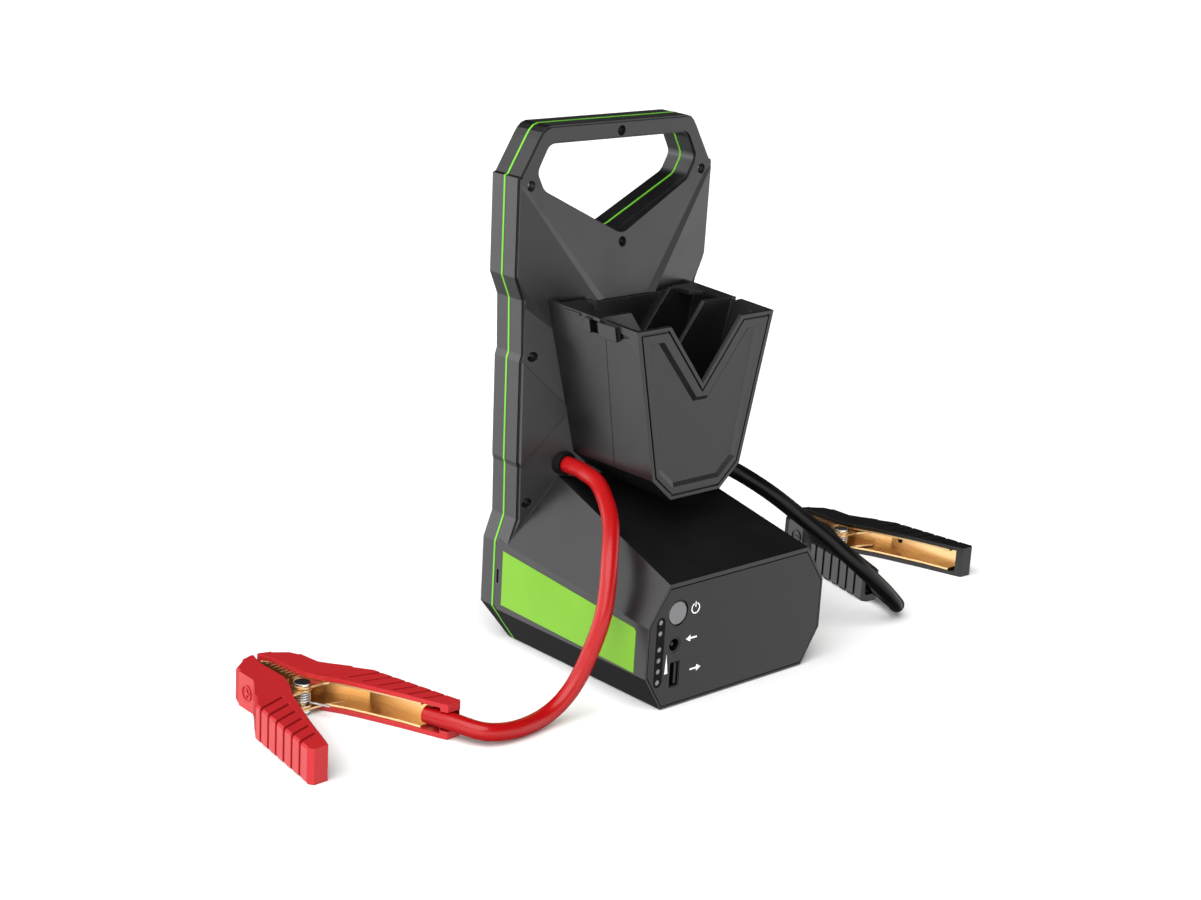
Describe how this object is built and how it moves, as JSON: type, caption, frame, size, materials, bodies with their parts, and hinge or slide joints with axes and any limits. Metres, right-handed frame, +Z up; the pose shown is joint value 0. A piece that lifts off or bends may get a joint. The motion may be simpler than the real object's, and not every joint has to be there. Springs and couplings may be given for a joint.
{
  "type": "jump starter pack",
  "caption": "Portable jump starter pack with a carry handle, a clamp holster, a front control panel and two short cables ending in spring clamps.",
  "frame": {"origin": "middle of the body's underside, on the floor", "axes": "+Z up, the front panel faces -Y, +X is the viewer's right when facing the front panel"},
  "size_m": [0.4724, 0.1423, 0.2702],
  "materials": {
    "dark_plastic": "fine satin moulded plastic",
    "panel_plastic": "semi-gloss moulded plastic",
    "green_plastic": "semi-gloss moulded plastic",
    "green_trim": "satin elastomer",
    "rubber": "satin rubber",
    "black_plastic": "satin moulded plastic",
    "light_strip": "smooth",
    "led": "translucent white",
    "circuit_board": "solder resist",
    "button_plastic": "satin moulded plastic",
    "steel": "plated",
    "chrome": "bright plated",
    "port_metal": "plated",
    "white_print": "printed ink",
    "cell_wrap": "shrink film",
    "copper": "bare",
    "brass": "stamped sheet",
    "red_plastic": "satin moulded plastic",
    "red_jacket": "glossy flexible jacket",
    "black_jacket": "glossy flexible jacket"
  },
  "bodies": {
    "pack": {"front_housing": "dark_plastic", "rear_cover": "dark_plastic", "seam_trim_outer": "green_trim", "seam_trim_handle": "green_trim", "front_panel": "panel_plastic", "left_side_panel": "green_plastic", "right_side_panel": "green_plastic", "light_guide": "light_strip", "status_leds": "led", "control_board": "circuit_board", "button_switch": "black_plastic", "dc_input_jack": "black_plastic", "usb_port": "port_metal", "usb_tongue": "black_plastic", "panel_marks": "white_print", "battery_cell_1": "cell_wrap", "battery_cell_2": "cell_wrap", "battery_cell_3": "cell_wrap", "battery_cell_4": "cell_wrap", "battery_tray": "black_plastic", "front_busbars": "steel", "rear_busbars": "steel", "power_board": "circuit_board", "relay": "black_plastic", "positive_terminal": "copper", "negative_terminal": "copper", "left_cable_gland": "rubber", "right_cable_gland": "rubber", "red_cable": "red_jacket", "black_cable": "black_jacket", "holster_rear_shell": "dark_plastic", "holster_front_shell": "dark_plastic", "holster_screws": "steel", "housing_screws": "chrome", "rubber_feet": "rubber", "red_fixed_grip": "red_plastic", "red_fixed_jaw": "brass", "red_pivot_pin": "chrome", "red_spring": "steel", "black_fixed_grip": "black_plastic", "black_fixed_jaw": "brass", "black_pivot_pin": "chrome", "black_spring": "steel", "black_mark": "black_plastic"},
    "power_button": {"power_button": "button_plastic"},
    "red_moving_arm": {"red_moving_grip": "red_plastic", "red_moving_jaw": "brass", "red_mark": "red_plastic"},
    "black_moving_arm": {"black_moving_grip": "black_plastic", "black_moving_jaw": "brass"}
  },
  "joints": [
    {"name": "power_button_press", "type": "slide", "parent": "pack", "child": "power_button", "axis": [0, 1, 0], "range_m": [0, 0.0008], "stiffness_N_per_m": 900, "springref_m": -0.0004},
    {"name": "red_clamp_hinge", "type": "hinge", "parent": "pack", "child": "red_moving_arm", "pos_m": [-0.1938, 0.0342, 0.00875], "axis": [0, 0, 1], "range_deg": [0, 32], "stiffness_Nm_per_rad": 0.8, "springref_deg": -22.92},
    {"name": "black_clamp_hinge", "type": "hinge", "parent": "pack", "child": "black_moving_arm", "pos_m": [0.1961, 0.0413, 0.00875], "axis": [0, 0, -1], "range_deg": [0, 32], "stiffness_Nm_per_rad": 0.8, "springref_deg": -22.92}
  ]
}
